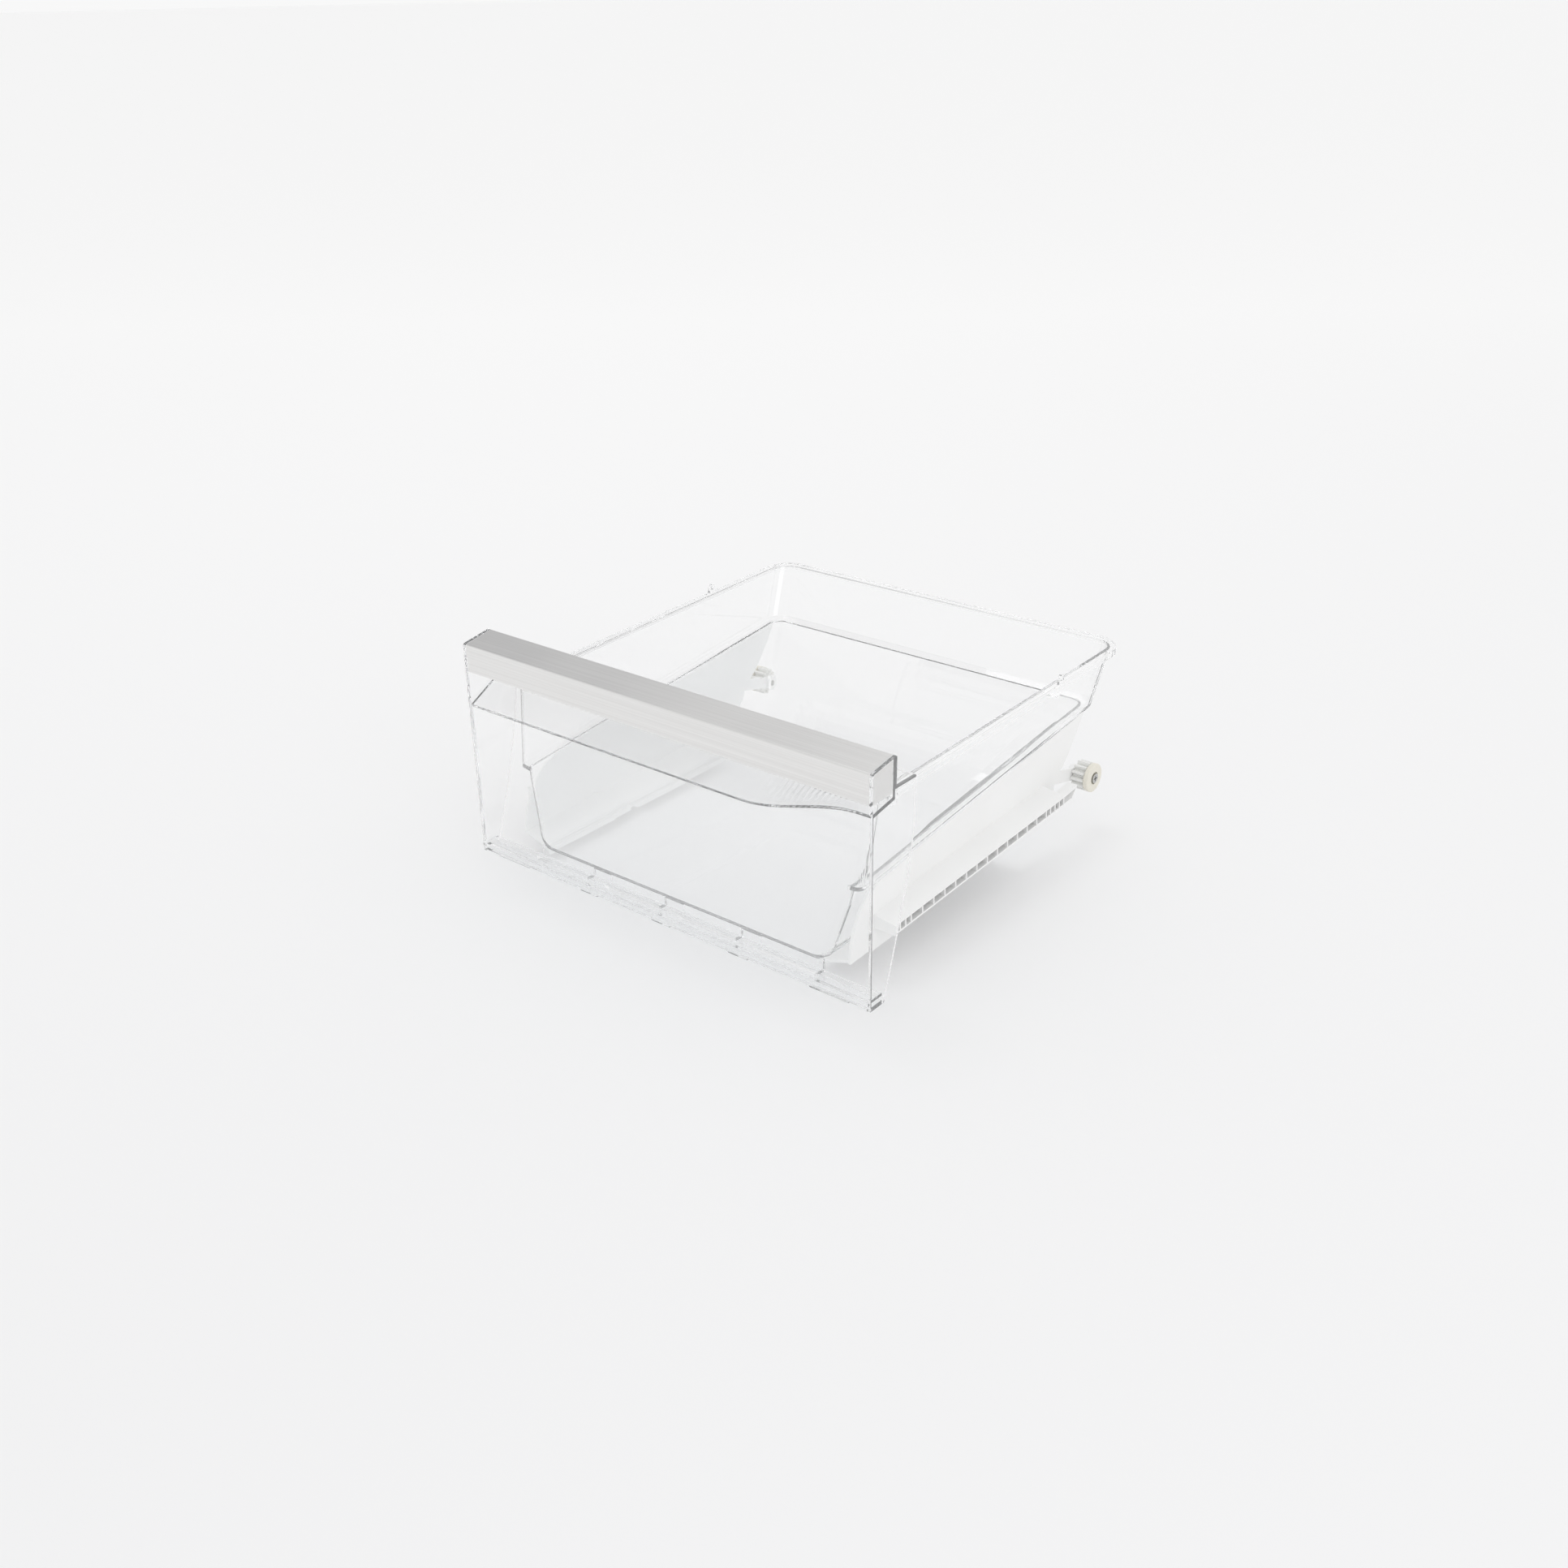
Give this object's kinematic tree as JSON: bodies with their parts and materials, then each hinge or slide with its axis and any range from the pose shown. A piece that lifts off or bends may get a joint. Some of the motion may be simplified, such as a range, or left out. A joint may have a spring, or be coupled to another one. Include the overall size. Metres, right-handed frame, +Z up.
{
  "type": "fridge crisper drawer",
  "caption": "Clear pull-out bin with a clip-on clear front, a brushed metal handle trim, white side rails and a free pinion and roller at each rear corner.",
  "frame": {"origin": "middle of the drawer's base, at the height of the front cover's foot", "axes": "+X to the right across the width seen from the front, +Y from the front cover to the rear, +Z up"},
  "size_m": [0.4, 0.381, 0.1884],
  "materials": {
    "clear_tub": "clear gloss",
    "clear_cover": "clear gloss",
    "brushed_trim": "brushed along its length",
    "white_rail": "satin",
    "grey_pinion": "satin",
    "cream_roller": "satin",
    "steel_screw": "satin"
  },
  "bodies": {
    "drawer": {"tub": "clear_tub", "front_cover": "clear_cover", "handle_trim": "brushed_trim", "rail_left": "white_rail", "rail_right": "white_rail", "axle_screw_left": "steel_screw", "axle_screw_right": "steel_screw"},
    "pinion_left": {"pinion_left": "grey_pinion"},
    "pinion_right": {"pinion_right": "grey_pinion"},
    "roller_left": {"roller_left": "cream_roller"},
    "roller_right": {"roller_right": "cream_roller"}
  },
  "joints": [
    {"name": "pinion_left_spin", "type": "hinge", "parent": "drawer", "child": "pinion_left", "pos_m": [-0.1742, 0.1475, 0.0486], "axis": [1, 0, 0], "continuous": true},
    {"name": "roller_left_spin", "type": "hinge", "parent": "drawer", "child": "roller_left", "pos_m": [-0.1824, 0.1475, 0.0486], "axis": [1, 0, 0], "continuous": true},
    {"name": "pinion_right_spin", "type": "hinge", "parent": "drawer", "child": "pinion_right", "pos_m": [0.1742, 0.1475, 0.0486], "axis": [1, 0, 0], "continuous": true},
    {"name": "roller_right_spin", "type": "hinge", "parent": "drawer", "child": "roller_right", "pos_m": [0.1824, 0.1475, 0.0486], "axis": [1, 0, 0], "continuous": true}
  ]
}
